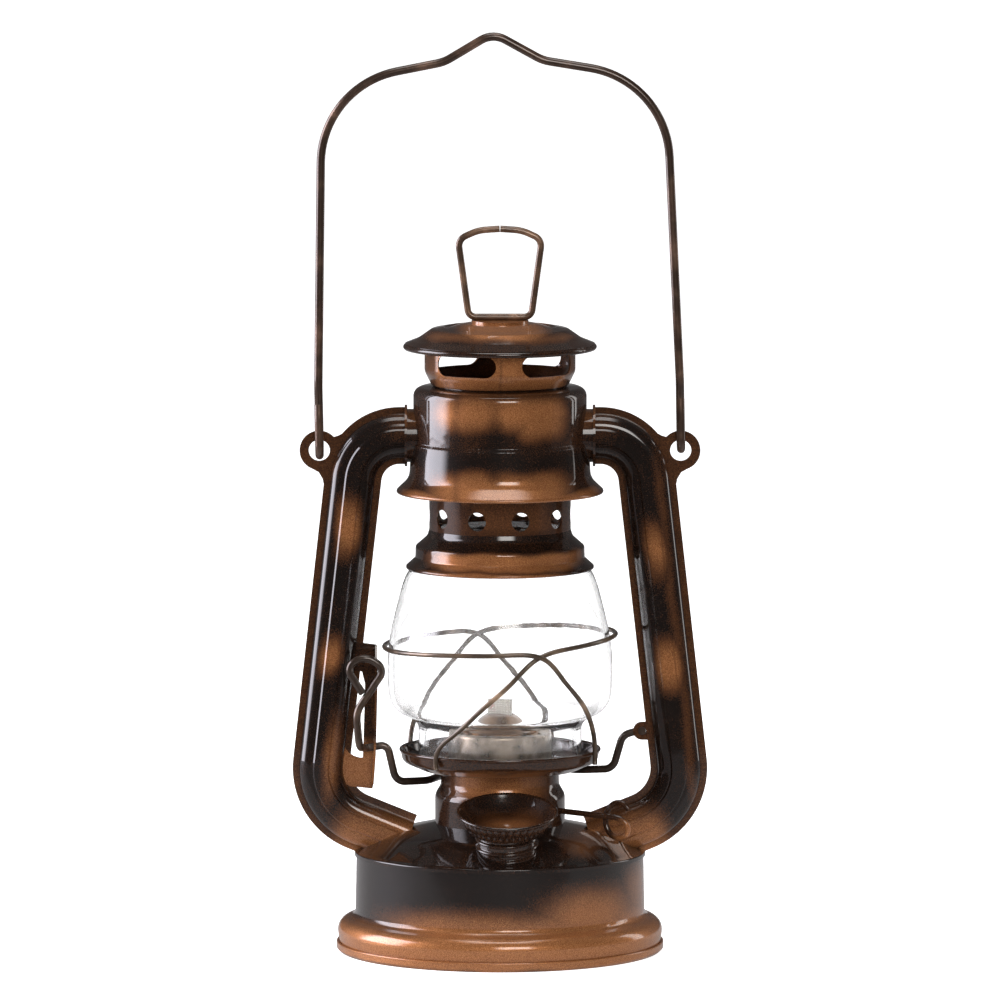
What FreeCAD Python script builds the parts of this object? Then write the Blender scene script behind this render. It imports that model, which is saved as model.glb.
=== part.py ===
import FreeCAD, Part
import math
import os

# A small tubular barn lantern that burns lamp oil. Millimetres, +Z up, +X to the lantern's right-hand
# tube, -Y to the front (the filler cap's side). The origin is the centre of the base, on the table.
#
# The root body is the fount, the burner, the two side tubes and the hood. Five groups move on it:
# the globe carriage (plate, glass, guard wires) with its lift lever, the sprung chimney with its pull
# ring, the wick with its wheel and knob, the screwed filler cap, and the bail.

V = FreeCAD.Vector
ORIGIN = V(0, 0, 0)
UP = V(0, 0, 1)

# Sheet and wire gauges
SHEET = 0.6
BAIL_WIRE = 1.4           # radius
LEVER_WIRE = 1.25
GUARD_WIRE = 0.8
PULL_WIRE = 1.1
KNOB_WIRE = 0.95
SPRING_WIRE = 0.6

# Fount
BASE_R = 54.1             # widest part of the rolled base
WALL_R = 47.5
WALL_TOP = 32.4
DOME_TOP = 42.4
THROAT_R = 21.5           # burner collar, which stands on the dome

# Filler neck and cap, on a tilted axis through the front of the dome
NECK_X, NECK_Y, NECK_Z = 2.3, -34.5, 38.2
NECK_TILT = 13.5          # degrees towards the front
NECK_R = 9.6
NECK_H = 6.0
THREAD_PITCH = 2.8
CAP_R = 16.5
CAP_FLOOR = 6.4
CAP_TOP = 13.0

# Burner
DRUM_R = 17.0
DRUM_TOP = 72.7
DOME_SLOT_TOP = 79.2
WICK_W, WICK_T = 7.8, 1.8
WICK_TOP, WICK_BOTTOM = 83.3, 9.0
KNOB_HEADING = -20.0      # degrees about Z, from +X
KNOB_DROP = 3.6           # degrees below the horizontal
KNOB_Z = 49.0
WHEEL_R = 3.0
WHEEL_OFFSET = WICK_T / 2 + WHEEL_R + 0.2

# Globe carriage
PLATE_R = 33.0
PLATE_Z = 60.0
GLASS = 1.5
GUARD_Z = 102.2
GUARD_SLOPE = 0.055       # the wires sit higher on the right
GUARD_R = 38.2
GUARD_FOOT_R = 34.0
FRONT_CROSSING, BACK_CROSSING = 20.0, 191.0           # degrees from the front, towards +X
LEFT_FOOT, RIGHT_FOOT = -38.0, 67.0
BACK_LEFT_FOOT, BACK_RIGHT_FOOT = 241.0, 147.0

# Side tubes: the centreline in the XZ plane, for the tube on +X
TUBE_START = (31.4, 170.9)
TUBE_TOP_CORNER = (46.9, 170.9)
TUBE_LOW_CORNER = (60.7, 47.9)
TUBE_END = (31.0, 35.9)
TUBE_TOP_BEND, TUBE_LOW_BEND = 15.4, 19.4
TUBE_HALF_W = 7.1
TUBE_HALF_D = 6.4
FLANGE_HALF_W = 9.4
RIB_HALF_W, RIB_H = 2.2, 0.55

# Bail and its ears
EAR_X, EAR_Z = 59.6, 166.0
EAR_HOLE_R, EAR_R = 3.5, 6.5
BAIL_PIVOT_Z = EAR_Z + (EAR_HOLE_R + EAR_R) / 2
BAIL_LOOP_R = 3.4
BAIL_LOOP_SLACK = 2.2     # from the pivot down to the centre of the loop's end
BAIL_LEAN = 1.0           # degrees: it leans to -X in its loose ears

# Hood and chimney
HOOD_TOP = 187.4
HOOD_R = 28.6
SOCKET_R = 8.8            # where a side tube's collar enters the hood
CHIMNEY_R = 23.4
STACK_R = 21.2            # the chimney's narrow upper part, which slides in the hood's top
STACK_SHOULDER = 157.0
VENT_HOLES, VENT_HOLE_R, VENT_HOLE_Z = 10, 3.1, 144.6
CROWN_R = 24.9
CROWN_SLOTS_AT = (-29.0, 43.0, 151.0, 223.0)
CROWN_SLOT_HALF = 26.0    # degrees
CROWN_SLOT_Z, CROWN_SLOT_H = 195.8, 7.2

# Lift lever
LEVER_PIVOT = (47.0, 72.6)
LEVER_HOOK_Y = -11.8
LEVER_SLOT_Y = -3.6


def at_angle(radius, degrees, z=0.0):
    """Point at that angle from the front (-Y), counted towards +X."""
    a = math.radians(degrees)
    return V(radius * math.sin(a), -radius * math.cos(a), z)


def rounded_path(points, radii):
    """Edges of straight runs joined by tangent arcs, with one bend radius per inner point."""
    edges = []
    start = points[0]
    for before, corner, after, radius in zip(points, points[1:], points[2:], radii):
        way_in = (corner - before).normalize()
        way_out = (after - corner).normalize()
        turn = way_in.getAngle(way_out)
        if radius <= 0 or turn < 1e-3:
            edges.append(Part.LineSegment(start, corner).toShape())
            start = corner
            continue
        reach = radius * math.tan(turn / 2)
        inward = (way_out - way_in).normalize()
        first, last = corner - way_in * reach, corner + way_out * reach
        middle = corner + inward * (radius / math.cos(turn / 2) - radius)
        if (first - start).Length > 1e-6:
            edges.append(Part.LineSegment(start, first).toShape())
        edges.append(Part.Arc(first, middle, last).toShape())
        start = last
    edges.append(Part.LineSegment(start, points[-1]).toShape())
    return edges


def offset_left(points, radii, distance):
    """The same (r, z) polyline moved to its left, with its bend radii changed to stay concentric."""
    ways = []
    for (r0, z0), (r1, z1) in zip(points, points[1:]):
        length = math.hypot(r1 - r0, z1 - z0)
        ways.append(((r1 - r0) / length, (z1 - z0) / length))
    moved, bends = [], []
    for i, (r, z) in enumerate(points):
        before, after = ways[max(i - 1, 0)], ways[min(i, len(ways) - 1)]
        nr, nz = -(before[1] + after[1]), before[0] + after[0]
        scale = distance * 2 / (nr * nr + nz * nz)
        moved.append((r + nr * scale, z + nz * scale) if r else (0.0, z + distance / after[0]))
        if 0 < i < len(points) - 1:
            left_turn = before[0] * after[1] - before[1] * after[0] > 0
            bends.append(max(radii[i - 1] + (-distance if left_turn else distance), 0) if radii[i - 1] else 0)
    return moved, bends


def revolved(edges):
    """Solid of revolution about Z from the edges of a closed section in the XZ plane."""
    return Part.Face(Part.Wire(edges)).revolve(ORIGIN, UP, 360)


def sheet_turned(points, radii, thickness=SHEET):
    """Spun sheet: (r, z) points along one skin, with the thickness on the left of the way they run."""
    inner, inner_radii = offset_left(points, radii, thickness)
    skin = [V(r, 0, z) for r, z in points]
    back = [V(r, 0, z) for r, z in reversed(inner)]
    edges = rounded_path(skin, radii)
    edges.append(Part.LineSegment(skin[-1], back[0]).toShape())
    edges += rounded_path(back, inner_radii[::-1])
    edges.append(Part.LineSegment(back[-1], skin[0]).toShape())
    return revolved(edges)


def filled_turned(points, radii, closing):
    """Solid between a skin and the axis side: closing points, as (r, z), finish the section."""
    skin = [V(r, 0, z) for r, z in points]
    edges = rounded_path(skin, radii)
    rest = [skin[-1]] + [V(r, 0, z) for r, z in closing] + [skin[0]]
    edges += [Part.LineSegment(a, b).toShape() for a, b in zip(rest, rest[1:])]
    return revolved(edges)


def wire_along(edges, radius):
    """Round wire swept along a path."""
    path = Part.Wire(edges)
    first = path.OrderedEdges[0]
    start = first.valueAt(first.FirstParameter)
    way = first.tangentAt(first.FirstParameter)
    if path.OrderedVertexes[0].Point.distanceToPoint(start) > 1e-5:
        start = first.valueAt(first.LastParameter)
        way = first.tangentAt(first.LastParameter) * -1
    ring = Part.Wire(Part.Circle(start, way, radius).toShape())
    return path.makePipeShell([ring], True, False)


def bent_wire(points, radii, radius):
    return wire_along(rounded_path([V(*p) for p in points], radii), radius)


def spline_edge(points):
    curve = Part.BSplineCurve()
    curve.interpolate(points)
    return curve.toShape()


def led_spline(points, leave, arrive):
    """Spline through points that leaves the first and reaches the last along the given directions."""
    spans = [0.0]
    for a, b in zip(points, points[1:]):
        spans.append(spans[-1] + a.distanceToPoint(b))
    curve = Part.BSplineCurve()
    curve.interpolate(Points=points, Parameters=spans, InitialTangent=V(leave).normalize(),
                      FinalTangent=V(arrive).normalize(), Scale=False)
    return curve.toShape()


def tube_ring(r_out, r_in, z0, z1):
    height = z1 - z0
    return Part.makeCylinder(r_out, height, V(0, 0, z0)).cut(Part.makeCylinder(r_in, height, V(0, 0, z0)))


def turned_about_z(shape, degrees):
    copy = shape.copy()
    copy.rotate(ORIGIN, UP, degrees)
    return copy


def mirrored(shape):
    """The same shape on the other side of the YZ plane."""
    return shape.mirror(ORIGIN, V(1, 0, 0))


# ---- Fount ------------------------------------------------------------------------------------------

DOME_SKIN = [(WALL_R + SHEET + 0.03, 31.6), (WALL_R + SHEET + 0.03, 33.0), (46.4, 33.6), (35.0, 39.3), (20.9, DOME_TOP)]
DOME_BENDS = [0.5, 0.6, 30.0]


def fount_filled():
    """Everything under the dome's outer skin, to trim what stands on it."""
    return filled_turned(DOME_SKIN, DOME_BENDS, [(0, DOME_TOP), (0, 20), (DOME_SKIN[0][0], 20)])


def fount_wall():
    """Tank wall with the rolled bead at its foot."""
    skin = [(53.2, 2.6), (54.1, 9.6), (47.9, 11.8), (WALL_R, WALL_TOP)]
    return sheet_turned(skin, [4.2, 2.2])


def fount_bottom():
    """Pan that closes the tank: a recessed floor and the foot ring that it stands on."""
    section = [(0, 1.8), (50.6, 1.8), (51.2, 0), (53.2, 0), (BASE_R, 0.9), (BASE_R, 2.6), (52.0, 2.6),
               (52.0, 2.4), (0, 2.4)]
    points = [V(r, 0, z) for r, z in section]
    return Part.Face(Part.makePolygon(points + points[:1])).revolve(ORIGIN, UP, 360)


def in_neck_frame(shape):
    """Moves a shape made about Z at the origin to the filler neck's tilted axis."""
    copy = shape.copy()
    copy.Placement = FreeCAD.Placement(V(NECK_X, NECK_Y, NECK_Z), FreeCAD.Rotation(V(1, 0, 0), NECK_TILT))
    return copy


def fount_dome():
    hole = in_neck_frame(Part.makeCylinder(NECK_R, 20, V(0, 0, -10)))
    return sheet_turned(DOME_SKIN, DOME_BENDS).cut(hole)


def filler_neck():
    """Threaded neck, let through the dome. Its thread is modelled as three round ridges."""
    tube = in_neck_frame(tube_ring(NECK_R, NECK_R - SHEET, -4.5, NECK_H))
    for i in range(3):
        z = -0.6 + i * THREAD_PITCH
        ridge = Part.makeTorus(NECK_R - 0.2, 0.75, V(0, 0, z)).cut(Part.makeCylinder(NECK_R - 0.3, 4, V(0, 0, z - 2)))
        tube = tube.fuse(in_neck_frame(ridge).cut(fount_filled()))
    return tube.removeSplitter()


def fuel_cap():
    """Dished cap: a flared rim, a flat bottom and the sleeve that screws into the neck."""
    skin = [(0.0, CAP_FLOOR), (12.2, CAP_FLOOR), (15.0, 9.4), (CAP_R, CAP_TOP)]
    dish = sheet_turned(skin, [1.4, 4.0], 0.7)
    sleeve = tube_ring(8.7, 8.0, 2.6, CAP_FLOOR)
    return in_neck_frame(dish.fuse(sleeve).removeSplitter())


def cap_gasket():
    return in_neck_frame(tube_ring(10.6, 9.0, NECK_H, CAP_FLOOR - 0.03))


# ---- Burner -----------------------------------------------------------------------------------------

def knob_way():
    drop, heading = math.radians(KNOB_DROP), math.radians(KNOB_HEADING)
    return V(math.cos(drop) * math.cos(heading), math.cos(drop) * math.sin(heading), -math.sin(drop))


def knob_origin():
    """Point on the knob's axis beside the wick."""
    heading = math.radians(KNOB_HEADING)
    across = V(-math.sin(heading), math.cos(heading), 0)
    return across * -WHEEL_OFFSET + V(0, 0, KNOB_Z)


def knob_hole(radius):
    return Part.makeCylinder(radius, 30, knob_origin(), knob_way())


def burner_collar():
    skin = [(THROAT_R, 41.6), (THROAT_R, 51.8), (19.6, 55.0), (19.5, 59.4)]
    return sheet_turned(skin, [4.0, 4.0]).cut(fount_filled()).cut(knob_hole(KNOB_WIRE + 0.25))


def flat_bar(width, thickness, z0, z1):
    """Upright bar with its wide side along the knob's heading, centred on the axis."""
    bar = Part.makeBox(width, thickness, z1 - z0, V(-width / 2, -thickness / 2, z0))
    return turned_about_z(bar, KNOB_HEADING)


def wheel_window():
    reach = WHEEL_R + 0.6
    return Part.makeCylinder(reach, 7.6, knob_origin() - knob_way() * 3.8, knob_way())


def wick_tube():
    outer = flat_bar(WICK_W + 1.8, WICK_T + 1.6, 44.0, 77.4)
    return outer.cut(flat_bar(WICK_W + 0.8, WICK_T + 0.6, 43.0, 78.4)).cut(wheel_window())


def burner_base():
    """Disc that closes the collar under the wheel and carries the wick tube."""
    disc = Part.makeCylinder(THROAT_R - SHEET, 0.8, V(0, 0, 43.9))
    disc = disc.cut(flat_bar(WICK_W + 1.8, WICK_T + 1.6, 43.0, 46.0))
    vent = Part.makeCylinder(1.2, 2, V(14.0, 0, 43.5))
    for i in range(6):
        disc = disc.cut(turned_about_z(vent, 30 + 60 * i))
    return disc


def burner_drum():
    """Air drum: a flange in the collar, a plain wall and a pierced top."""
    drum = sheet_turned([(18.9, 56.0), (DRUM_R, 56.0), (DRUM_R, DRUM_TOP), (11.0, DRUM_TOP)], [0.5, 1.0], 0.5)
    hole = Part.makeCylinder(0.8, 3, V(14.9, 0, DRUM_TOP - 1.5))
    for i in range(24):
        drum = drum.cut(turned_about_z(hole, 15 * i))
    return drum


def burner_dome():
    """Domed cap over the drum, slotted for the wick."""
    skin = [(13.4, DRUM_TOP + 0.5), (11.6, DRUM_TOP + 0.9), (9.0, 76.9), (4.6, 78.8), (0.0, DOME_SLOT_TOP)]
    return sheet_turned(skin, [1.2, 3.0, 4.0], 0.5).cut(flat_bar(WICK_W + 1.0, WICK_T + 1.2, 70, 82))


def wick():
    return flat_bar(WICK_W, WICK_T, WICK_BOTTOM, WICK_TOP)


def wick_wheel():
    """Star wheel on the knob's shaft, whose points feed the wick."""
    teeth, depth, width = 12, 0.6, 5.0
    rim = []
    for i in range(2 * teeth):
        radius = WHEEL_R if i % 2 == 0 else WHEEL_R - depth
        rim.append(V(radius * math.cos(math.pi * i / teeth), radius * math.sin(math.pi * i / teeth), 0))
    star = Part.Face(Part.makePolygon(rim + rim[:1])).extrude(V(0, 0, width))
    star = star.cut(Part.makeCylinder(KNOB_WIRE, width))
    star.Placement = FreeCAD.Placement(knob_origin() - knob_way() * (width / 2), FreeCAD.Rotation(UP, knob_way()))
    return star


def wick_knob():
    """Shaft of the wick wheel, bent at its outer end into an open finger loop."""
    along = knob_way()
    up = (UP - along * UP.dot(along)).normalize()
    side = along.cross(up) * -1          # away from the tube, towards the front
    base = knob_origin()

    def local(s, v, w):
        return base + along * s + up * v + side * w

    # The loop's turns as (along the shaft, up, out): it comes round under the shaft and over in front of it.
    loop = [(40.0, 0, 0), (43.4, -0.3, 0.1), (46.3, -2.6, 0.3), (45.8, -5.6, 0.8), (42.6, -6.9, 1.4), (39.4, -5.4, 2.0),
            (37.9, -2.0, 2.4), (38.4, 1.6, 2.5), (40.9, 4.3, 2.3), (44.0, 4.3, 2.0), (46.0, 2.6, 1.9)]
    curl = [local(*p) for p in loop]
    straight = Part.LineSegment(local(-5.0, 0, 0), curl[0]).toShape()
    return wire_along([straight, led_spline(curl, along, curl[-1] - curl[-2])], KNOB_WIRE)


# ---- Side tubes -------------------------------------------------------------------------------------

def tube_path():
    points = [V(x, 0, z) for x, z in (TUBE_START, TUBE_TOP_CORNER, TUBE_LOW_CORNER, TUBE_END)]
    return Part.Wire(rounded_path(points, [TUBE_TOP_BEND, TUBE_LOW_BEND]))


def arch(half_width, depth, rib_half, rib, foot):
    """Edges of a half tube's skin across its width, at the path's start, bulging to -Y."""
    x, z = TUBE_START

    def p(u, w):
        return V(x, -w, z + u)

    shoulder = depth - rib
    mid_u = (half_width + rib_half) * 0.64
    mid_w = foot + (shoulder - foot) * 0.78
    return [
        Part.Arc(p(-half_width, foot), p(-mid_u, mid_w), p(-rib_half - 0.5, shoulder)).toShape(),
        Part.LineSegment(p(-rib_half - 0.5, shoulder), p(-rib_half, depth)).toShape(),
        Part.LineSegment(p(-rib_half, depth), p(rib_half, depth)).toShape(),
        Part.LineSegment(p(rib_half, depth), p(rib_half + 0.5, shoulder)).toShape(),
        Part.Arc(p(rib_half + 0.5, shoulder), p(mid_u, mid_w), p(half_width, foot)).toShape(),
    ]


def line(a, b):
    return Part.LineSegment(a, b).toShape()


def swept_on_tube(edges):
    sweep = Part.BRepOffsetAPI.MakePipeShell(tube_path())
    sweep.setBiNormalMode(V(0, 1, 0))
    sweep.add(Part.Wire(edges))
    sweep.build()
    sweep.makeSolid()
    return sweep.shape()


def tube_corner(u, w):
    x, z = TUBE_START
    return V(x, -w, z + u)


def half_tube_outer():
    """The half tube's outside with its bore filled, to trim neighbours."""
    p = tube_corner
    skin = arch(TUBE_HALF_W, TUBE_HALF_D, RIB_HALF_W, RIB_H, SHEET)
    edges = skin + [line(p(TUBE_HALF_W, SHEET), p(FLANGE_HALF_W, SHEET)), line(p(FLANGE_HALF_W, SHEET), p(FLANGE_HALF_W, 0)),
                    line(p(FLANGE_HALF_W, 0), p(-FLANGE_HALF_W, 0)), line(p(-FLANGE_HALF_W, 0), p(-FLANGE_HALF_W, SHEET)),
                    line(p(-FLANGE_HALF_W, SHEET), p(-TUBE_HALF_W, SHEET))]
    return swept_on_tube(edges)


def half_tube_bore():
    p = tube_corner
    inner_w = TUBE_HALF_W - SHEET
    edges = arch(inner_w, TUBE_HALF_D - SHEET, RIB_HALF_W - 0.3, RIB_H, 0.05)
    edges += [line(p(inner_w, 0.05), p(inner_w, -0.4)), line(p(inner_w, -0.4), p(-inner_w, -0.4)),
              line(p(-inner_w, -0.4), p(-inner_w, 0.05))]
    return swept_on_tube(edges)


def ear_plate():
    """The bail's ear, one sheet thick, stamped in one with the half tube's flange."""
    disc = Part.makeCylinder(EAR_R, SHEET, V(EAR_X, 0, EAR_Z), V(0, -1, 0))
    web = [(60.6, 172.4), (58.0, 170.9), (55.6, 170.2), (53.4, 170.8), (50.4, 172.4), (49.0, 166.0), (53.0, 154.0),
           (58.0, 154.0), (58.5, 156.6), (59.8, 158.8), (62.0, 160.0)]
    points = [V(x, 0, z) for x, z in web]
    plate = Part.Face(Part.makePolygon(points + points[:1])).extrude(V(0, -SHEET, 0))
    hole = Part.makeCylinder(EAR_HOLE_R, 4, V(EAR_X, 2, EAR_Z), V(0, -1, 0))
    return disc.fuse(plate).cut(hole)


def front_half_tube():
    """Front half of the tube on +X, with its ear, trimmed to stand on the fount."""
    shell = half_tube_outer().fuse(ear_plate()).cut(half_tube_bore())
    return shell.removeSplitter().cut(fount_filled())


def to_back(shape):
    return shape.mirror(ORIGIN, V(0, 1, 0))


# ---- Hood, chimney, crown and cap -------------------------------------------------------------------

HOOD_SKIN = [(34.0, 153.2), (30.0, 157.0), (29.3, 168.2), (HOOD_R, 169.2), (HOOD_R, 186.9), (22.1, HOOD_TOP)]
HOOD_BENDS = [5.0, 0.4, 0.4, 3.0]


def hood():
    shell = sheet_turned(HOOD_SKIN, HOOD_BENDS)
    for side in (-1, 1):
        shell = shell.cut(Part.makeCylinder(SOCKET_R, 20, V(side * 20, 0, TUBE_START[1]), V(side, 0, 0)))
    return shell


def hood_collar():
    """Flanged sleeve that joins the tube on +X to the hood."""
    x, z = TUBE_START
    sleeve = Part.makeCylinder(SOCKET_R, x - 27.0, V(27.0, 0, z), V(1, 0, 0))
    flange = Part.makeCylinder(10.2, 0.8, V(x - 0.8, 0, z), V(1, 0, 0))
    bore = Part.makeCylinder(5.9, 20, V(20, 0, z), V(1, 0, 0))
    inside = Part.makeCylinder(HOOD_R - SHEET, 40, V(0, 0, 150))
    return sleeve.fuse(flange).removeSplitter().cut(bore).cut(inside)


def chimney():
    skin = [(CHIMNEY_R, 140.0), (CHIMNEY_R, STACK_SHOULDER), (STACK_R, STACK_SHOULDER), (STACK_R, 188.4)]
    shell = sheet_turned(skin, [0.8, 0.4], 0.5)
    for i in range(VENT_HOLES):
        way = at_angle(1, -19 + 360 / VENT_HOLES * i)
        shell = shell.cut(Part.makeCylinder(VENT_HOLE_R, 30, V(0, 0, VENT_HOLE_Z), way))
    return shell


def globe_holder():
    """Flared ring under the chimney that sits on the glass."""
    skin = [(31.0, 127.9), (28.0, 130.6), (27.9, 134.4), (24.0, 137.8), (CHIMNEY_R, 140.0)]
    return sheet_turned(skin, [0.8, 1.2, 3.0], 0.5)


CAP_SKIN = [(31.3, 201.5), (27.0, 203.2), (22.6, 206.3), (18.5, 207.0), (17.4, 206.5), (12.0, 208.1), (0.0, 208.5)]
CAP_BENDS = [6.0, 2.0, 0.4, 0.4, 12.0]


def cap():
    """Rain cap: a low stepped dome with a wide brim."""
    return sheet_turned(CAP_SKIN, CAP_BENDS)


def crown():
    """Vented cup that carries the cap. Its slots come in pairs, with broad webs at the sides."""
    shell = sheet_turned([(STACK_R, 187.8), (22.6, 187.8), (CROWN_R, 192.4), (CROWN_R, 206.0)], [0.6, 4.0])
    inner, bends = offset_left(CAP_SKIN, CAP_BENDS, SHEET)
    shell = shell.cut(filled_turned(inner, bends, [(0, 215), (31, 215)]))
    half = CROWN_R * math.sin(math.radians(CROWN_SLOT_HALF)) - CROWN_SLOT_H / 2
    slot = Part.makeBox(2 * half, 25, CROWN_SLOT_H, V(-half, -30, CROWN_SLOT_Z - CROWN_SLOT_H / 2))
    for side in (-1, 1):
        slot = slot.fuse(Part.makeCylinder(CROWN_SLOT_H / 2, 25, V(side * half, -5, CROWN_SLOT_Z), V(0, -1, 0)))
    for angle in CROWN_SLOTS_AT:
        shell = shell.cut(turned_about_z(slot, angle))
    return shell


def ring_boss():
    """Button on the cap that the pull ring is welded to."""
    return Part.makeCylinder(9.4, 2.2, V(0, 0, 206.9)).cut(filled_turned(CAP_SKIN, CAP_BENDS, [(0, 201)]))


def pull_ring():
    """Closed wire ring with its butt joint at the top."""
    low, shoulder, top = 209.1 + PULL_WIRE, 235.8, 239.3
    half = [(0.1, 0, top), (7.2, 0, top - 0.5), (13.8, 0, shoulder), (10.3, 0, low)]
    points = half + [(-x, y, z) for x, y, z in reversed(half)]
    return bent_wire(points, [14.0, 3.6, 2.6, 2.6, 3.6, 14.0], PULL_WIRE)


def chimney_spring():
    """Coil spring that presses the chimney down on the glass."""
    low, high = STACK_SHOULDER + SPRING_WIRE + 0.15, HOOD_TOP - SHEET - SPRING_WIRE - 0.9
    radius, turns, steps = 22.45, 6, 14
    points = []
    for i in range(turns * steps + 1):
        share = i / (turns * steps)
        points.append(at_angle(radius, 360 * turns * share, low + (high - low) * share))
    return wire_along([spline_edge(points)], SPRING_WIRE)


# ---- Globe carriage ---------------------------------------------------------------------------------

def globe_plate():
    """Dished plate that carries the glass. Its hub slides on the burner drum."""
    skin = [(DRUM_R + 0.6, 62.4), (DRUM_R + 0.9, PLATE_Z), (25.5, PLATE_Z), (32.2, 63.0), (PLATE_R, 66.6)]
    plate = sheet_turned(skin, [0.9, 7.0, 2.5])
    for foot in guard_feet():
        plate = plate.cut(Part.makeCylinder(GUARD_WIRE + 0.02, 8, at_angle(GUARD_FOOT_R, foot, 62)))
    return plate


def glass_globe():
    outside = [V(27.0, 0, 74.0), V(28.4, 0, 76.6), V(32.8, 0, 79.0), V(36.1, 0, 82.8), V(37.0, 0, 88.0), V(37.2, 0, 95.0),
               V(36.0, 0, 106.3), V(33.8, 0, 115.6), V(31.9, 0, 122.4), V(30.1, 0, 126.2)]
    inside = [p - V(GLASS, 0, 0) for p in outside]
    belly, inner = [led_spline(side, V(0.1, 0, 3), V(-2.0, 0, 3.0)) for side in (outside, inside)]
    foot, neck, lip = V(27.0, 0, 61.9), V(26.6, 0, 129.8), V(26.4, 0, 132.0)
    shift = V(GLASS, 0, 0)
    edges = [line(foot, outside[0]), belly, line(outside[-1], neck), line(neck, lip), line(lip, lip - shift),
             line(lip - shift, neck - shift), line(neck - shift, inside[-1]), inner, line(inside[0], foot - shift),
             line(foot - shift, foot)]
    return revolved(edges)


def guard_feet():
    return [LEFT_FOOT, RIGHT_FOOT, BACK_LEFT_FOOT, BACK_RIGHT_FOOT]


def guard_wire(foot, crossing, far_crossing, far_foot, over_first):
    """Guard wire: up from a foot, past a crossing, half way round the glass to the other crossing and down.
    Where the two guard wires cross, one stands out over the other."""
    step_over = 2 * GUARD_WIRE + 0.3
    first_over, last_over = (step_over, 0.0) if over_first else (0.0, step_over)
    points = []

    def add(angle, radius, z):
        point = at_angle(radius, angle, z)
        point.z += point.x * GUARD_SLOPE * max(0.0, (z - 66.0) / 36.0)
        points.append(point)

    def leg(foot_at, crossing_at, shares, over):
        for share in shares:
            radius = GUARD_FOOT_R + (GUARD_R - GUARD_FOOT_R) * min(1.0, share * 2.2)
            add(foot_at + (crossing_at - foot_at) * share, radius + over * share, 68.0 + (GUARD_Z - 69.0) * share)

    add(foot, GUARD_FOOT_R, 63.2)
    leg(foot, crossing, (0.0, 0.25, 0.5, 0.75, 0.97), first_over)
    steps = 10
    for k in range(1, steps):
        share = k / steps
        rise = 0.8 * min(1.0, 4 * share, 4 * (1 - share))
        over = first_over * max(0.0, 1 - 4 * share) + last_over * max(0.0, 4 * share - 3)
        add(crossing + (far_crossing - crossing) * share, GUARD_R + over, GUARD_Z + rise)
    leg(far_foot, far_crossing, (0.97, 0.75, 0.5, 0.25, 0.0), last_over)
    add(far_foot, GUARD_FOOT_R, 63.2)
    return wire_along([spline_edge(points)], GUARD_WIRE)


# ---- Lift lever and its bracket ---------------------------------------------------------------------

def lift_lever():
    """Cranked wire: a finger hook on the left, round behind the burner under the plate, to its pivot."""
    hook, slot = LEVER_HOOK_Y, LEVER_SLOT_Y
    px, pz = LEVER_PIVOT
    points = [
        (-45.2, hook, 86.6), (-50.8, hook, 95.2), (-44.5, hook, 99.4), (-37.8, hook, 94.8), (-47.4, hook, 80.5),
        (-46.4, hook, 68.8), (-44.6, slot, 67.4), (-37.2, slot, 68.6), (-34.4, slot, 56.2), (-24.0, 1.0, 56.0),
        (-17.5, 17.0, 56.2), (0.0, 25.0, 57.2), (17.5, 17.0, 58.2), (26.0, 6.0, 58.9), (37.4, 3.4, 59.6),
        (40.6, 3.4, 70.9), (px, 3.4, pz), (px, 0.4, pz),
    ]
    bends = [3.4, 5.4, 3.2, 9.0, 3.4, 2.0, 2.6, 4.0, 6.0, 10.0, 12.0, 10.0, 8.0, 4.0, 4.0, 1.4]
    return bent_wire(points, bends, LEVER_WIRE)


def lever_bracket():
    """Sheet guide welded to the left tube's inner flange, with a slotted lip for the lever."""
    thickness, front = 0.7, -SHEET
    outline = [(-49.3, 102.6), (-41.0, 101.6), (-42.2, 53.6), (-49.6, 54.4), (-53.4, 56.4), (-54.4, 66.0), (-52.6, 70.3),
               (-51.6, 67.8), (-50.2, 65.8), (-48.4, 64.5), (-46.4, 63.9), (-45.4, 63.9), (-45.2, 67.5), (-44.6, 88.5),
               (-45.6, 92.6), (-49.2, 93.2)]
    points = [V(x, front, z) for x, z in outline]
    plate = Part.Face(Part.makePolygon(points + points[:1])).extrude(V(0, -thickness, 0))
    top, low = points[1], points[2]
    bend = (low - top).normalize()
    out = V(math.sin(math.radians(8)), -math.cos(math.radians(8)), 0)
    across = bend.cross(out).normalize() * thickness
    lip = [top, top + out * 3.6, top + bend * 12 + out * 6.6, top + bend * 36 + out * 6.6, low - bend * 2 + out * 3.0, low]
    flange = Part.Face(Part.makePolygon(lip + lip[:1])).extrude(across)
    slot_z0, slot_z1, half = 66.2, 78.2, LEVER_WIRE + 0.2
    slot = Part.makeBox(12, 2 * half, slot_z1 - slot_z0, V(-46, LEVER_SLOT_Y - half, slot_z0))
    tube = mirrored(half_tube_outer())
    return plate.fuse(flange).removeSplitter().cut(slot).cut(tube)


def pivot_tab():
    """Tab behind the right tube's inner flange with the lever's pivot hole."""
    x, z = LEVER_PIVOT
    thickness, back = 0.8, V(0, SHEET, 0)
    disc = Part.makeCylinder(3.0, thickness, V(x, 0, z) + back, V(0, 1, 0))
    strap = Part.makeBox(5.0, thickness, 6.0, V(x, SHEET, z - 3.0))
    hole = Part.makeCylinder(LEVER_WIRE + 0.05, 4, V(x, -1, z), V(0, 1, 0))
    return disc.fuse(strap).removeSplitter().cut(hole).cut(to_back(half_tube_outer()))


# ---- Bail -------------------------------------------------------------------------------------------

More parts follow.
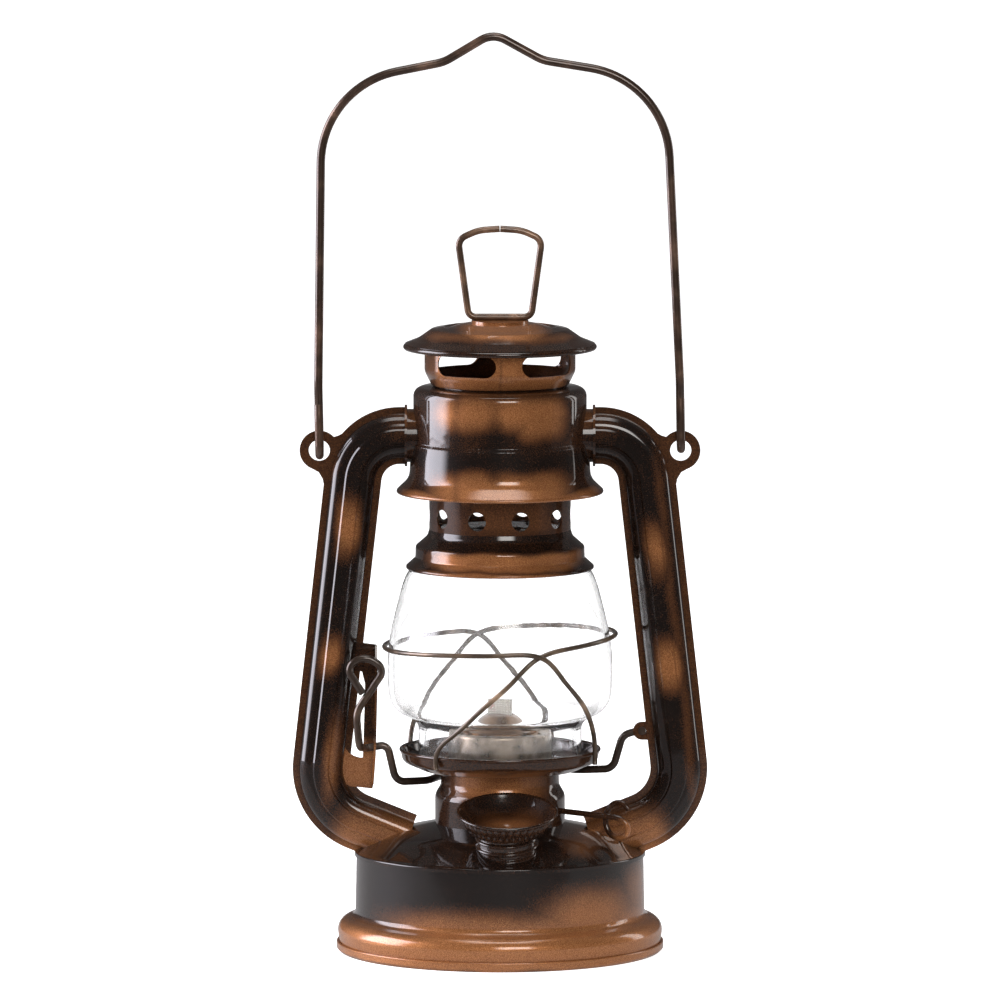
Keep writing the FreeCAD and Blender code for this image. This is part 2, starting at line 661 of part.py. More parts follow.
def bail():
    """Carrying handle: one wire, with a narrow loop through each ear and a hanging peak in the middle."""
    end_z = BAIL_PIVOT_Z - BAIL_LOOP_SLACK
    r = BAIL_LOOP_R
    loop_top, tip_z = 185.0, 182.4
    half = [(EAR_X, -2.95, tip_z), (EAR_X, -r, 178.0), (EAR_X, -r, end_z - r), (EAR_X, r, end_z - r), (EAR_X, r, 178.0),
            (EAR_X, 0.0, loop_top + 3.0), (56.6, 0.0, 287.3), (16.2, 0.0, 294.6)]
    bends = [20.0, r - 0.01, r - 0.01, 12.0, 12.0, 31.0, 14.0]
    points = half + [(0.0, 0.0, 303.9)] + [(-x, y, z) for x, y, z in reversed(half)]
    wire = bent_wire(points, bends + [8.0] + bends[::-1], BAIL_WIRE)
    wire.rotate(V(0, 0, BAIL_PIVOT_Z), V(0, 1, 0), -BAIL_LEAN)
    return wire


def write(name, shape):
    """Saves one sub-part and prints what makes it a sound solid."""
    solids = shape.Solids
    if not solids or not shape.isValid():
        print("UNSOUND", name, len(solids), shape.isValid())
    box = shape.BoundBox
    print(f"{name:20s} solids {len(solids)} volume {shape.Volume:9.1f} z {box.ZMin:7.2f} {box.ZMax:7.2f}")
    out = solids[0] if len(solids) == 1 else Part.makeCompound(solids)
    out.exportStep(f"parts/{name}.step")


def main():
    os.makedirs("parts", exist_ok=True)
    right_front = front_half_tube()
    right_collar = hood_collar()
    nodes = {
        "fount_bottom": fount_bottom(),
        "fount_wall": fount_wall(),
        "fount_dome": fount_dome(),
        "filler_neck": filler_neck(),
        "fuel_cap": fuel_cap(),
        "cap_gasket": cap_gasket(),
        "burner_collar": burner_collar(),
        "burner_base": burner_base(),
        "burner_drum": burner_drum(),
        "burner_dome": burner_dome(),
        "wick_tube": wick_tube(),
        "wick": wick(),
        "wick_wheel": wick_wheel(),
        "wick_knob": wick_knob(),
        "right_tube_front": right_front,
        "right_tube_back": to_back(right_front),
        "left_tube_front": mirrored(right_front),
        "left_tube_back": to_back(mirrored(right_front)),
        "hood": hood(),
        "right_hood_collar": right_collar,
        "left_hood_collar": mirrored(right_collar),
        "chimney": chimney(),
        "chimney_spring": chimney_spring(),
        "globe_holder": globe_holder(),
        "crown": crown(),
        "cap": cap(),
        "ring_boss": ring_boss(),
        "pull_ring": pull_ring(),
        "globe_plate": globe_plate(),
        "glass_globe": glass_globe(),
        "guard_wire_right": guard_wire(LEFT_FOOT, FRONT_CROSSING, BACK_CROSSING, BACK_LEFT_FOOT, False),
        "guard_wire_left": guard_wire(RIGHT_FOOT, FRONT_CROSSING, BACK_CROSSING - 360, BACK_RIGHT_FOOT - 360, True),
        "lift_lever": lift_lever(),
        "lever_bracket": lever_bracket(),
        "pivot_tab": pivot_tab(),
        "bail": bail(),
    }
    for name, shape in nodes.items():
        write(name, shape)


main()
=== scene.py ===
import math

import bpy
from mathutils import Matrix, Vector


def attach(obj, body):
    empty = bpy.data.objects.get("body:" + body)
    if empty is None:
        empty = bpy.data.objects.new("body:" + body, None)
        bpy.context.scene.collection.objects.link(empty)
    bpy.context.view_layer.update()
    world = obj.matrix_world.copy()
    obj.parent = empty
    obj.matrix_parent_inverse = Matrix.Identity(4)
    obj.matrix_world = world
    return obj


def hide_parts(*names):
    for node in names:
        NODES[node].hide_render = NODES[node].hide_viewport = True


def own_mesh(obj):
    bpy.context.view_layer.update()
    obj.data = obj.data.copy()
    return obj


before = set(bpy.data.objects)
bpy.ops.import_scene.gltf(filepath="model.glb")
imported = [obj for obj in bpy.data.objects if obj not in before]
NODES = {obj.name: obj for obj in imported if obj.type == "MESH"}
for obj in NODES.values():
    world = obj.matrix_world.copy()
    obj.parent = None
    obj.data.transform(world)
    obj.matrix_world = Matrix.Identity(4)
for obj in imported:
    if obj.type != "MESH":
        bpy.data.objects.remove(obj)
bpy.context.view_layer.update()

MM = 0.001


# ---- Materials --------------------------------------------------------------------------------------

SPRAY_SPREAD = 1.6      # how far a soft edge reaches to each side, as a multiple of its softness
COPPER = (0.56, 0.235, 0.088)
COPPER_DEEP = (0.20, 0.070, 0.024)
SPRAY_BLACK = (0.0055, 0.0032, 0.0024)

# Middle line of a side tube: its distance from the lantern's axis at one height, and its lean inwards.
TUBE_MIDDLE, TUBE_MIDDLE_HEIGHT, TUBE_LEAN = 46.9 * MM, 170.9 * MM, 0.1122
FLANGE_EDGE, FLANGE_INNER = 1.0 * MM, 0.62 * MM


class Graph:
    """A material's node tree, with short calls for the few nodes that these finishes need."""

    def __init__(self, name):
        self.material = bpy.data.materials.new(name)
        self.material.use_nodes = True
        self.nodes = self.material.node_tree.nodes
        self.links = self.material.node_tree.links
        self.surface = self.nodes["Principled BSDF"]
        place = self.nodes.new("ShaderNodeTexCoord")
        self.point = place.outputs["Object"]
        split = self.nodes.new("ShaderNodeSeparateXYZ")
        self.links.new(self.point, split.inputs[0])
        self.x, self.y, self.z = split.outputs

    def put(self, socket, value):
        """Link a socket to another, or set its own value."""
        if isinstance(value, bpy.types.NodeSocket):
            self.links.new(value, socket)
        else:
            socket.default_value = value

    def math(self, operation, *values):
        node = self.nodes.new("ShaderNodeMath")
        node.operation = operation
        for socket, value in zip(node.inputs, values):
            self.put(socket, value)
        return node.outputs[0]

    def rise(self, value, start, end):
        """0 below start, 1 above end, smooth between (or falling, when start is above end)."""
        node = self.nodes.new("ShaderNodeMapRange")
        node.interpolation_type = "SMOOTHSTEP"
        low, high = (start, end) if start < end else (end, start)
        self.put(node.inputs["Value"], value)
        node.inputs["From Min"].default_value = low
        node.inputs["From Max"].default_value = high
        if start > end:
            node.inputs["To Min"].default_value, node.inputs["To Max"].default_value = 1.0, 0.0
        return node.outputs["Result"]

    def window(self, value, low, high, soft):
        """1 between low and high, falling to 0 on both sides."""
        soft = soft * SPRAY_SPREAD
        into, out_of = self.rise(value, low - soft, low + soft), self.rise(value, high + soft, high - soft)
        return self.math("MULTIPLY", into, out_of)

    def noise(self, scale, detail=2.0, roughness=0.5, stretch=None):
        node = self.nodes.new("ShaderNodeTexNoise")
        node.inputs["Scale"].default_value = scale
        node.inputs["Detail"].default_value = detail
        node.inputs["Roughness"].default_value = roughness
        place = self.point
        if stretch:
            mapping = self.nodes.new("ShaderNodeMapping")
            mapping.inputs["Scale"].default_value = stretch
            self.links.new(place, mapping.inputs["Vector"])
            place = mapping.outputs[0]
        self.links.new(place, node.inputs["Vector"])
        return node.outputs["Fac"]

    def colour(self, factor, low, high):
        """Blend of two colours or colour sockets."""
        node = self.nodes.new("ShaderNodeMix")
        node.data_type = "RGBA"
        self.put(node.inputs[0], factor)
        self.put(node.inputs[6], (*low, 1.0) if isinstance(low, tuple) else low)
        self.put(node.inputs[7], (*high, 1.0) if isinstance(high, tuple) else high)
        return node.outputs[2]

    def bump(self, height, distance, strength=1.0):
        node = self.nodes.new("ShaderNodeBump")
        node.inputs["Strength"].default_value = strength
        node.inputs["Distance"].default_value = distance
        self.links.new(height, node.inputs["Height"])
        self.links.new(node.outputs[0], self.surface.inputs["Normal"])

    def set(self, **values):
        for key, value in values.items():
            self.put(self.surface.inputs[key.replace("_", " ")], value)


def antique_paint(name, islands, copper=COPPER, floor=0.0, flange=False, painted_shades=()):
    """Copper flake paint sprayed nearly black between soft-edged islands, under clear lacquer.
    An island is {"axis": (low, high, soft)} in millimetres, where the axis is x, y, z, side (x without
    its sign) or across (distance over a side tube from its middle line), with "copper" as its strength.
    A painted shade is given the same way, but darkens: it paints shade along a crease, under a step, at the
    foot and in dark streaks."""
    g = Graph(name)
    side = g.math("ABSOLUTE", g.x)
    middle = g.math("MULTIPLY_ADD", g.z, -TUBE_LEAN, TUBE_MIDDLE + TUBE_MIDDLE_HEIGHT * TUBE_LEAN)
    axes = {"x": g.x, "y": g.y, "z": g.z, "side": side, "across": g.math("SUBTRACT", side, middle)}
    drift = g.math("MULTIPLY_ADD", g.noise(60.0, 1.0), 0.0032, -0.0016)

    def sprayed(island):
        strength = island.get("copper", 1.0)
        for axis, span in island.items():
            if axis != "copper":
                low, high, soft = (v * MM for v in span)
                moved = g.math("ADD", axes[axis], drift)
                strength = g.math("MULTIPLY", g.window(moved, low, high, soft), strength)
        return strength

    total = floor
    for island in islands:
        total = g.math("MAXIMUM", total, sprayed(island))
    # Painted shade: each one darkens the paint where it lies.
    for painted_shade in painted_shades:
        total = g.math("MULTIPLY", total, g.math("SUBTRACT", 1.0, sprayed(painted_shade)))
    if flange:
        edge = g.math("MULTIPLY", g.rise(g.math("ABSOLUTE", g.y), FLANGE_EDGE, FLANGE_INNER), 0.26)
        total = g.math("MAXIMUM", total, edge)
    spatter = g.math("MULTIPLY_ADD", g.noise(2600.0, 1.0), 0.42, -0.21)
    blotch = g.math("MULTIPLY_ADD", g.noise(110.0, 3.0), 0.14, -0.07)
    wet = g.math("ADD", g.math("ADD", total, spatter), blotch)
    mask = g.math("MULTIPLY_ADD", wet, 1.12, -0.06)
    mask = g.math("MINIMUM", g.math("MAXIMUM", mask, 0.0), 1.0)
    flake = g.noise(5200.0, 1.0)
    warm = g.colour(g.rise(flake, 0.30, 0.72), COPPER_DEEP, copper)
    warm = g.colour(g.rise(mask, 0.0, 0.75), COPPER_DEEP, warm)
    base = g.colour(mask, SPRAY_BLACK, warm)
    g.set(Base_Color=base, Metallic=g.math("MULTIPLY_ADD", mask, 0.50, 0.06),
          Roughness=g.math("MULTIPLY_ADD", flake, 0.12, 0.34), Specular_IOR_Level=0.08, Coat_Weight=1.0,
          Coat_Roughness=0.045, Coat_IOR=1.55)
    ripple = g.noise(120.0, 2.0)
    g.bump(g.math("ADD", ripple, g.math("MULTIPLY", flake, 0.05)), 0.00022, 0.35)
    coat = g.nodes.new("ShaderNodeBump")
    coat.inputs["Strength"].default_value = 0.25
    coat.inputs["Distance"].default_value = 0.00012
    g.links.new(ripple, coat.inputs["Height"])
    g.links.new(coat.outputs[0], g.surface.inputs["Coat Normal"])
    return g.material


def wire_lacquer(name, tint=(0.105, 0.066, 0.046), shine=0.24):
    """Dark bronze lacquer over steel wire, with thin lighter patches."""
    g = Graph(name)
    patches = g.noise(95.0, 3.0)
    grain = g.noise(3000.0, 1.0)
    light = tuple(min(1.0, c * 2.6) for c in tint)
    dark = tuple(c * 0.38 for c in tint)
    base = g.colour(g.rise(patches, 0.42, 0.66), dark, tint)
    base = g.colour(g.math("MULTIPLY", g.rise(patches, 0.60, 0.78), 0.8), base, light)
    base = g.colour(g.math("MULTIPLY", grain, 0.25), base, dark)
    g.set(Base_Color=base, Metallic=0.55, Roughness=g.math("MULTIPLY_ADD", patches, 0.2, shine),
          Coat_Weight=0.7, Coat_Roughness=0.08)
    g.bump(g.noise(800.0, 2.0), 0.0001, 0.3)
    return g.material


def clear_glass():
    """Blown glass, very slightly uneven."""
    g = Graph("clear_glass")
    g.set(Base_Color=(1.0, 1.0, 1.0, 1.0), Roughness=0.0, Transmission_Weight=0.98, IOR=1.47)
    g.bump(g.noise(30.0, 1.0, stretch=(1.0, 1.0, 0.35)), 0.0004, 0.03)
    return g.material


def bright_tin(name, tint=(0.46, 0.37, 0.29)):
    """Thinly lacquered tinplate of the burner."""
    g = Graph(name)
    stain = g.noise(210.0, 4.0)
    base = g.colour(g.rise(stain, 0.35, 0.7), tuple(c * 0.45 for c in tint), tint)
    g.set(Base_Color=base, Metallic=0.85, Roughness=g.math("MULTIPLY_ADD", stain, 0.25, 0.18),
          Coat_Weight=0.3, Coat_Roughness=0.1)
    g.bump(g.noise(900.0, 2.0, stretch=(1.0, 1.0, 6.0)), 0.0001, 0.3)
    return g.material


def cotton():
    """Woven tape with a rib along its length and a small red smudge near its top."""
    g = Graph("cotton_wick")
    weave = g.nodes.new("ShaderNodeTexWave")
    weave.wave_type, weave.bands_direction = "BANDS", "Z"
    weave.inputs["Scale"].default_value = 420.0
    weave.inputs["Distortion"].default_value = 1.2
    g.links.new(g.point, weave.inputs["Vector"])
    ribs = g.nodes.new("ShaderNodeTexWave")
    ribs.wave_type, ribs.bands_direction = "BANDS", "X"
    ribs.inputs["Scale"].default_value = 330.0
    g.links.new(g.point, ribs.inputs["Vector"])
    woven = g.math("MULTIPLY", weave.outputs["Fac"], ribs.outputs["Fac"])
    mark = g.math("MULTIPLY", g.window(g.x, -3.1 * MM, -1.9 * MM, 0.3 * MM),
                  g.window(g.z, 79.6 * MM, 81.6 * MM, 0.3 * MM))
    mark = g.math("MULTIPLY", mark, g.rise(g.noise(900.0, 1.0), 0.42, 0.6))
    base = g.colour(woven, (0.60, 0.56, 0.49), (0.86, 0.83, 0.77))
    base = g.colour(g.math("MULTIPLY", mark, 0.8), base, (0.55, 0.05, 0.05))
    g.set(Base_Color=base, Roughness=0.95, Sheen_Weight=0.4)
    g.bump(woven, 0.0003, 0.8)
    return g.material


def plain(name, tint, roughness, metallic=0.0):
    """Lightly mottled rubber or metal, for small hidden pieces."""
    g = Graph(name)
    spots = g.noise(600.0, 3.0)
    base = g.colour(spots, tuple(c * 0.6 for c in tint), tint)
    g.set(Base_Color=base, Metallic=metallic, Roughness=g.math("MULTIPLY_ADD", spots, 0.2, roughness))
    g.bump(spots, 0.0001, 0.4)
    return g.material


def dress(material, *names):
    """Give CAD nodes a material."""
    for name in names:
        mesh = NODES[name].data
        mesh.materials.clear()
        mesh.materials.append(material)


paint_fount = antique_paint("paint_fount", [
    {"z": (-2, 10.5, 2.4)},
    {"z": (-2, 17, 4.0), "x": (-34, 60, 10), "copper": 0.85},
    {"z": (-2, 23, 5.5), "x": (16, 43, 8), "copper": 0.9},
    {"z": (-2, 30, 4.0), "x": (41, 52, 3), "copper": 0.5},
# Painted shade: the fount is darkened at its lowest edge, where it stands on the floor.
], painted_shades=[{"z": (-3, 0.6, 0.8), "copper": 0.5}])
paint_dome = antique_paint("paint_dome", [
    {"x": (22, 34, 5), "z": (36, 44, 2), "copper": 0.45},
    {"side": (26, 38, 4), "y": (-8, 8, 3), "copper": 0.5},
], floor=0.05)
paint_collar = antique_paint("paint_collar", [
    {"z": (51, 62, 2.2), "x": (-14, 14, 5), "copper": 0.85},
], floor=0.14)
paint_neck = antique_paint("paint_neck", [], copper=(0.30, 0.26, 0.20), floor=0.12)
paint_cap_dish = antique_paint("paint_filler_cap", [
    # Copper paint over the dish's floor and front flutes; on the flat floor it is partly a painted
    # highlight, where a domed centre would catch the light.
    {"x": (-6, 12, 4), "y": (-45, -27, 5), "z": (44, 51.5, 1.4), "copper": 0.6},
], floor=0.11)
paint_knob = antique_paint("paint_knob", [
    {"x": (37, 44.5, 1.5), "z": (34, 45, 2), "copper": 0.9},
], floor=0.16)
TUBE_PATCHES = {
    "left": [
        {"z": (134, 148, 6), "across": (-3.5, 3.5, 1.6), "copper": 0.85},
        {"z": (93, 104, 4), "across": (-2.0, 4.5, 1.6), "copper": 0.75},
        {"z": (52, 76, 7), "across": (-6.0, -1.0, 1.6), "copper": 0.55},
    ],
    "right": [
        {"z": (126, 141, 5), "across": (-3.0, 3.5, 1.6), "copper": 0.7},
        {"z": (88, 102, 5), "across": (-3.5, 4.0, 1.6), "copper": 0.85},
        {"z": (45, 165, 8), "across": (2.6, 5.2, 1.6), "copper": 0.34},
    ],
}
TUBE_ENDS = [
    {"z": (20, 46, 5), "across": (-60, -6, 4), "copper": 0.75},
    {"z": (170, 185, 3), "across": (-40, -8, 4), "copper": 0.22},
    {"z": (155, 185, 4), "across": (5.5, 16, 1.5), "copper": 0.25},
]
paint_tube = {}
for side, patches in TUBE_PATCHES.items():
    paint_tube[side] = antique_paint("paint_tube_" + side, patches + TUBE_ENDS, floor=0.04, flange=True)
paint_hood = antique_paint("paint_hood", [
    {"z": (176.0, 184.8, 3.4), "side": (-9, 21, 3), "copper": 1.0},
    {"z": (172.5, 184.8, 3.0), "x": (6, 21, 3), "copper": 0.8},
    {"z": (150, 160.5, 3.6), "side": (-9, 22, 4), "copper": 1.0},
    {"z": (150, 154.6, 0.8), "side": (-9, 32, 3), "copper": 0.75},
], floor=0.12, painted_shades=[
    # Painted shade: two dark streaks down the hood's front, and a dark band just under its step.
    {"x": (-4.5, 0.5, 1.6), "z": (157, 183, 3.5), "copper": 0.5},
    {"x": (-15.5, -13, 1.0), "z": (150, 190, 3), "copper": 0.35},
    {"z": (163, 167.6, 1.4), "copper": 0.6},
])
paint_hood_collar = antique_paint("paint_hood_collar", [{"z": (174, 182, 2), "copper": 0.4}], floor=0.12)
paint_chimney = antique_paint("paint_chimney", [
    {"z": (139, 160, 3), "x": (-11, 19, 4), "copper": 0.32},
    {"z": (150, 160, 3), "x": (-13, -9, 1.2), "copper": 0.6},
], floor=0.2)
paint_holder = antique_paint("paint_holder", [
    {"z": (129.0, 134.0, 1.0), "x": (-22, 25, 4), "copper": 0.95},
    {"z": (126.6, 128.4, 0.5), "x": (-24, 20, 5), "copper": 0.7},
], floor=0.08)
paint_crown = antique_paint("paint_crown", [
    {"z": (187.4, 201, 1.0), "side": (-9, 22, 2), "y": (-40, -8, 3), "copper": 1.0},
    {"z": (188, 201, 1.8), "copper": 0.35},
# Painted shade: a dark line down the middle of the crown's front, where its crease would be in shade.
], floor=0.2, painted_shades=[{"x": (-0.7, 0.5, 0.5), "z": (186, 200, 3), "copper": 0.45}])
paint_cap = antique_paint("paint_cap", [
    {"z": (204.2, 212, 1.0), "x": (-13, 15, 4), "copper": 0.75},
    {"z": (203.4, 206.0, 0.9), "side": (-9, 25, 3), "copper": 0.4},
], floor=0.12)
paint_plate = antique_paint("paint_plate", [
    {"z": (59, 63, 1.2), "x": (-26, 18, 5), "copper": 0.5},
], floor=0.16)
paint_bracket = antique_paint("paint_bracket", [
    {"z": (52, 69, 3), "copper": 0.85},
    {"z": (70, 92, 5), "x": (-43, -30, 1.4), "copper": 0.35},
], floor=0.16)
wire_dark = wire_lacquer("wire_dark")
wire_pale = wire_lacquer("wire_guard", (0.20, 0.135, 0.088), 0.3)
wire_pull = wire_lacquer("wire_pull", (0.22, 0.125, 0.075), 0.3)

dress(paint_fount, "fount_bottom", "fount_wall")
dress(paint_dome, "fount_dome")
dress(paint_collar, "burner_collar")
dress(paint_tube["left"], "left_tube_front", "left_tube_back")
dress(paint_tube["right"], "right_tube_front", "right_tube_back", "pivot_tab")
dress(paint_hood, "hood")
dress(paint_hood_collar, "left_hood_collar", "right_hood_collar")
dress(paint_chimney, "chimney")
dress(paint_holder, "globe_holder")
dress(paint_crown, "crown")
dress(paint_cap, "cap", "ring_boss")
dress(paint_plate, "globe_plate")
dress(paint_bracket, "lever_bracket")
dress(bright_tin("burner_tin"), "burner_drum", "wick_tube", "burner_base")
dress(bright_tin("burner_dome_tin", (0.36, 0.22, 0.13)), "burner_dome")
dress(wire_dark, "lift_lever")
dress(paint_knob, "wick_knob")
dress(wire_lacquer("wire_bail", (0.13, 0.075, 0.050), 0.26), "bail")
dress(wire_pull, "pull_ring")
dress(wire_pale, "guard_wire_left", "guard_wire_right")
dress(clear_glass(), "glass_globe")
dress(cotton(), "wick")
dress(plain("rubber_seal", (0.05, 0.045, 0.04), 0.7), "cap_gasket")
dress(plain("spring_steel", (0.5, 0.48, 0.45), 0.25, 1.0), "chimney_spring")
dress(plain("wheel_brass", (0.72, 0.52, 0.22), 0.25, 1.0), "wick_wheel")


# ---- Pieces -----------------------------------------------------------------------------------------

def piece_from(name, points, faces, material, body):
    """Smooth-shaded piece that rides on a body."""
    mesh = bpy.data.meshes.new(name)
    mesh.from_pydata(points, [], faces)
    mesh.materials.append(material)
    for polygon in mesh.polygons:
        polygon.use_smooth = True
    mesh.update()
    piece = bpy.data.objects.new(name, mesh)
    bpy.context.scene.collection.objects.link(piece)
    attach(piece, body)
    return piece


def lathe(profile, steps, place=Matrix.Identity(4)):
    """Points and faces of a turned solid, in metres, from a closed profile in millimetres.
    A profile entry is (r, z) or a function of the angle that gives them."""
    points, faces = [], []
    for i in range(steps):
        a = 2 * math.pi * i / steps
        for entry in profile:
            r, z = entry(a) if callable(entry) else entry
            points.append(place @ Vector((r * math.cos(a) * MM, r * math.sin(a) * MM, z * MM)))
    n = len(profile)
    for i in range(steps):
        j = (i + 1) % steps
        for k in range(n):
            m = (k + 1) % n
            faces.append((i * n + k, j * n + k, j * n + m, i * n + m))
    return points, faces


# The filler's own frame: its origin on the dome, and its lean towards the front.
NECK_ORIGIN, NECK_LEAN = Vector((2.3, -34.5, 38.2)) * MM, math.radians(13.5)
NECK_PLACE = Matrix.Translation(NECK_ORIGIN) @ Matrix.Rotation(NECK_LEAN, 4, "X")


def filler_cap():
    """Dished cap with a rolled rim and pressed flutes on its flare."""
    flutes, flute_rows, flute_depth = 40, 9, 0.8
    steps = 12 * flutes

    def fluted(r, z, depth):
        return lambda a: (r - depth * (0.5 + 0.5 * math.cos(flutes * a)) ** 2, z)

    dish = [(0.01, 7.2), (9.0, 7.2), (10.8, 7.4), (12.2, 8.3), (14.4, 11.0), (15.5, 12.9)]
    rim = [(15.9, 13.4), (16.35, 13.4), (16.65, 13.1), (16.6, 12.7), (16.25, 12.4)]
    flare = []
    for k in range(flute_rows):
        fade = min(1.0, (k + 1) / 2, (flute_rows - k) / 2)
        flare.append(fluted(16.15 - 0.14 * k - 0.022 * k * k, 12.2 - 0.48 * k, flute_depth * fade))
    underside = [(12.9, 7.2), (12.3, 6.6), (12.1, 6.4), (8.75, 6.4)]
    sleeve = [(8.7, 2.7), (8.0, 2.6), (8.0, 6.2), (0.01, 6.4)]
    points, faces = lathe(dish + rim + flare + underside + sleeve, steps, NECK_PLACE)
    piece = piece_from("filler_cap_fluted", points, faces, paint_cap_dish, "fuel_cap")
    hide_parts("fuel_cap")


def threaded_neck():
    """Filler neck with a rolled right-hand thread that runs out below its mouth."""
    pitch, low, high = 2.8, -4.5, 6.0
    bore, root, ridge_height = 9.05, 9.55, 0.85
    rows, steps = 72, 128

    def thread(z):
        def at(a):
            phase = ((z - 0.8) / pitch - a / (2 * math.pi)) % 1.0
            ridge = max(0.0, math.cos(2 * math.pi * (phase - 0.5))) ** 0.7
            fade = min(1.0, max(0.0, (high - 0.4 - z) / 1.2))
            return root + ridge_height * ridge * fade, z
        return at

    profile = [thread(low + (high - low) * k / rows) for k in range(rows + 1)]
    profile += [(bore, high), (bore, low)]
    points, faces = lathe(profile, steps, NECK_PLACE)
    piece = piece_from("filler_neck_threaded", points, faces, paint_neck, "frame")
    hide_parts("filler_neck")


def bead_ring(name, radius, z, thick, material, body, steps=160):
    """Thin round bead of radius thick, for rolled edges and seams."""
    sides = 12
    turns = [2 * math.pi * k / sides for k in range(sides)]
    points, faces = lathe([(radius + thick * math.cos(a), z + thick * math.sin(a)) for a in turns], steps)
    piece_from(name, points, faces, material, body)


def return_spring():
    """The chimney's spring, as its own copy of the CAD node on the frame. It is not made to close up as the
    chimney is raised, though the real one closes towards its seat in the hood by a little more than the
    chimney's travel of 12 mm."""
    spring = bpy.data.objects.new("return_spring", NODES["chimney_spring"].data.copy())
    bpy.context.scene.collection.objects.link(spring)
    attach(spring, "frame")
    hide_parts("chimney_spring")
    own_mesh(spring)


filler_cap()
threaded_neck()
return_spring()
bead_ring("cap_brim_roll", 31.0, 200.4, 0.95, paint_cap, "chimney_group")
bead_ring("hood_skirt_roll", 33.6, 152.6, 0.6, paint_hood, "frame")
bead_ring("hood_step", 28.1, 168.3, 0.5, paint_hood, "frame")
bead_ring("holder_roll", 30.5, 127.4, 0.55, paint_holder, "chimney_group")
bead_ring("fount_seam", 53.75, 2.75, 0.38, paint_fount, "frame", steps=240)
bead_ring("plate_roll", 32.75, 66.7, 0.6, paint_plate, "globe_carriage")


# ---- Stage ------------------------------------------------------------------------------------------

GLOW = 0.85                     # of the card where it is lit from behind, or seen directly
GLOW_LOST_IN_REFLECTION = 0.62  # the part of it that a glossy surface doesn't get


def sweep_material():
    """White card. It glows under and behind the lantern, and wherever it is looked at directly or
    through the glass. Glossy surfaces reflect it dimmed, so that the dark paint stays dark."""
    g = Graph("pale_floor")
    glow = g.math("MULTIPLY", g.rise(g.y, -0.23, -0.155), g.rise(g.math("ABSOLUTE", g.x), 0.50, 0.24))
    glow = g.math("MULTIPLY", glow, g.rise(g.z, 0.80, 0.35))
    path = g.nodes.new("ShaderNodeLightPath").outputs
    mirrored = g.math("SUBTRACT", path["Is Glossy Ray"], path["Is Transmission Ray"])
    mirrored = g.math("MAXIMUM", mirrored, 0.0)
    seen = g.math("MAXIMUM", path["Is Camera Ray"], path["Is Transmission Ray"])
    cast = g.math("MULTIPLY", glow, g.math("MULTIPLY_ADD", mirrored, -GLOW_LOST_IN_REFLECTION, GLOW))
    g.set(Base_Color=g.colour(mirrored, (0.86, 0.86, 0.86), (0.16, 0.15, 0.15)), Roughness=0.85,
          Emission_Color=(1.0, 1.0, 1.0, 1.0),
          Emission_Strength=g.math("MAXIMUM", cast, g.math("MULTIPLY", seen, GLOW)))
    return g.material


def backdrop():
    """Pale floor that sweeps up into a wall, far enough behind the lantern to leave room for rear views."""
    front, back, bend, top, half_width = -0.50, 4.6, 1.0, 3.4, 3.5
    profile = [(front, 0.0), (back, 0.0)]
    for degrees in range(10, 91, 10):
        a = math.radians(degrees)
        profile.append((back + bend * math.sin(a), bend - bend * math.cos(a)))
    profile.append((back + bend, top))
    points = [Vector((x, y, z)) for y, z in profile for x in (-half_width, half_width)]
    faces = [(2 * k, 2 * k + 1, 2 * k + 3, 2 * k + 2) for k in range(len(profile) - 1)]
    mesh = bpy.data.meshes.new("backdrop")
    mesh.from_pydata(points, [], faces)
    mesh.materials.append(sweep_material())
    for polygon in mesh.polygons:
        polygon.use_smooth = True
    sweep = bpy.data.objects.new("backdrop", mesh)
    bpy.context.scene.collection.objects.link(sweep)


def softbox(name, place, aim, width, height, power, tint=(1.0, 1.0, 1.0), soft=0.3):
    """Diffused panel that fades towards its upright edges, over the share of its width that soft gives."""
    light = bpy.data.lights.new(name, "AREA")
    light.shape, light.size, light.size_y = "RECTANGLE", width, height
    light.energy, light.color = power, tint
    light.use_nodes = True
    nodes, links = light.node_tree.nodes, light.node_tree.links
    face, split = nodes.new("ShaderNodeNewGeometry"), nodes.new("ShaderNodeSeparateXYZ")
    links.new(face.outputs["Parametric"], split.inputs[0])
    off, fade = nodes.new("ShaderNodeMath"), nodes.new("ShaderNodeMapRange")
    off.operation = "PINGPONG"
    off.inputs[1].default_value = 0.5
    links.new(split.outputs["X"], off.inputs[0])
    fade.interpolation_type = "SMOOTHSTEP"
    fade.inputs["From Min"].default_value, fade.inputs["From Max"].default_value = 0.0, soft
    links.new(off.outputs[0], fade.inputs["Value"])
    links.new(fade.outputs["Result"], nodes["Emission"].inputs["Strength"])
    lamp = bpy.data.objects.new(name, light)
    lamp.visible_camera = False
    lamp.location = place
    lamp.rotation_euler = (Vector(aim) - Vector(place)).to_track_quat("-Z", "Y").to_euler()
    bpy.context.scene.collection.objects.link(lamp)


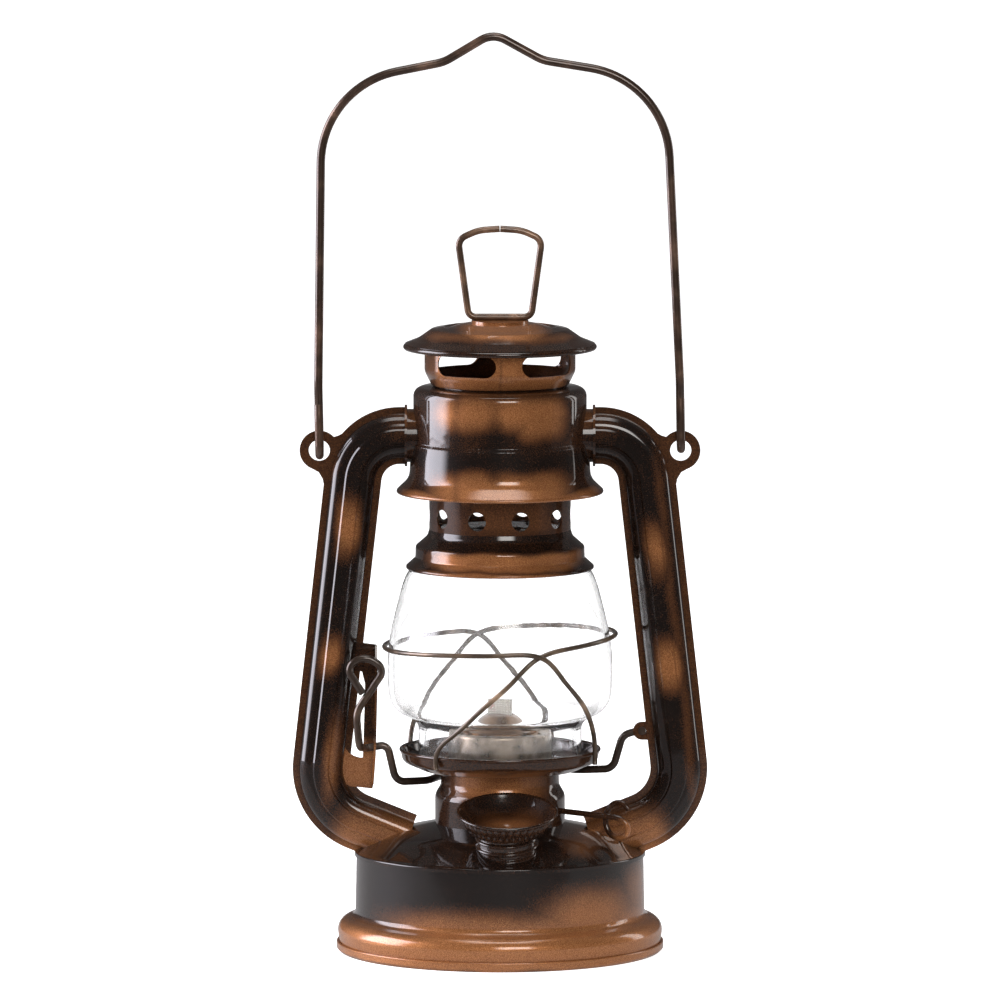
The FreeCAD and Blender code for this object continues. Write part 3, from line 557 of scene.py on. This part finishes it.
def room():
    """A white room that gives little light, and that reflections see as a dark one, less dark behind."""
    world = bpy.data.worlds.new("studio")
    world.use_nodes = True
    nodes, links = world.node_tree.nodes, world.node_tree.links
    place = nodes.new("ShaderNodeTexCoord")
    split = nodes.new("ShaderNodeSeparateXYZ")
    links.new(place.outputs["Generated"], split.inputs[0])
    fade = nodes.new("ShaderNodeMapRange")
    fade.interpolation_type = "SMOOTHSTEP"
    links.new(split.outputs["Y"], fade.inputs["Value"])
    fade.inputs["From Min"].default_value, fade.inputs["From Max"].default_value = -0.2, 0.8
    fade.inputs["To Min"].default_value, fade.inputs["To Max"].default_value = 0.03, 0.10
    path = nodes.new("ShaderNodeLightPath")
    lit = nodes.new("ShaderNodeMix")
    links.new(path.outputs["Is Diffuse Ray"], lit.inputs["Factor"])
    lit.inputs["A"].default_value, lit.inputs["B"].default_value = 1.0, 0.30
    mirrored, seen = nodes.new("ShaderNodeMath"), nodes.new("ShaderNodeMix")
    mirrored.operation, mirrored.use_clamp = "SUBTRACT", True
    links.new(path.outputs["Is Glossy Ray"], mirrored.inputs[0])
    links.new(path.outputs["Is Transmission Ray"], mirrored.inputs[1])
    links.new(mirrored.outputs[0], seen.inputs["Factor"])
    links.new(lit.outputs["Result"], seen.inputs["A"])
    links.new(fade.outputs["Result"], seen.inputs["B"])
    links.new(seen.outputs["Result"], nodes["Background"].inputs["Strength"])
    nodes["Background"].inputs["Color"].default_value = (1.0, 1.0, 1.0, 1.0)
    bpy.context.scene.world = world


def studio():
    """Backdrop, room and four panels: a large cool one on the left, and weaker ones round about."""
    cool, warm, globe = (0.92, 0.90, 1.0), (1.0, 0.97, 0.95), (0, 0, 0.15)
    backdrop()
    room()
    softbox("left_softbox", (-1.45, 0.10, 0.50), globe, 1.5, 1.3, 52, cool)
    softbox("right_softbox", (1.35, 0.65, 0.45), globe, 0.5, 1.1, 5, warm)
    softbox("top_softbox", (0.0, -0.1, 1.7), (0, 0, 0.1), 1.2, 1.0, 14)
    softbox("front_fill", (0.45, -2.4, 1.15), globe, 1.5, 0.9, 36, (1.0, 0.97, 0.94))


def camera():
    """Long lens almost straight from the front, a little above."""
    rise, distance, target = math.radians(6.3), 3.8, Vector((0, 0, 0.1495))
    view_width = 0.330
    lens = bpy.data.cameras.new("camera")
    lens.sensor_width = 36.0
    lens.lens = lens.sensor_width * distance / view_width
    lens.clip_start, lens.clip_end = 0.1, 30.0
    eye = bpy.data.objects.new("camera", lens)
    eye.location = target + Vector((0, -distance * math.cos(rise), distance * math.sin(rise)))
    eye.rotation_euler = (target - eye.location).to_track_quat("-Z", "Y").to_euler()
    bpy.context.scene.collection.objects.link(eye)
    bpy.context.scene.camera = eye


studio()
camera()
bpy.context.scene.view_settings.view_transform = "Standard"
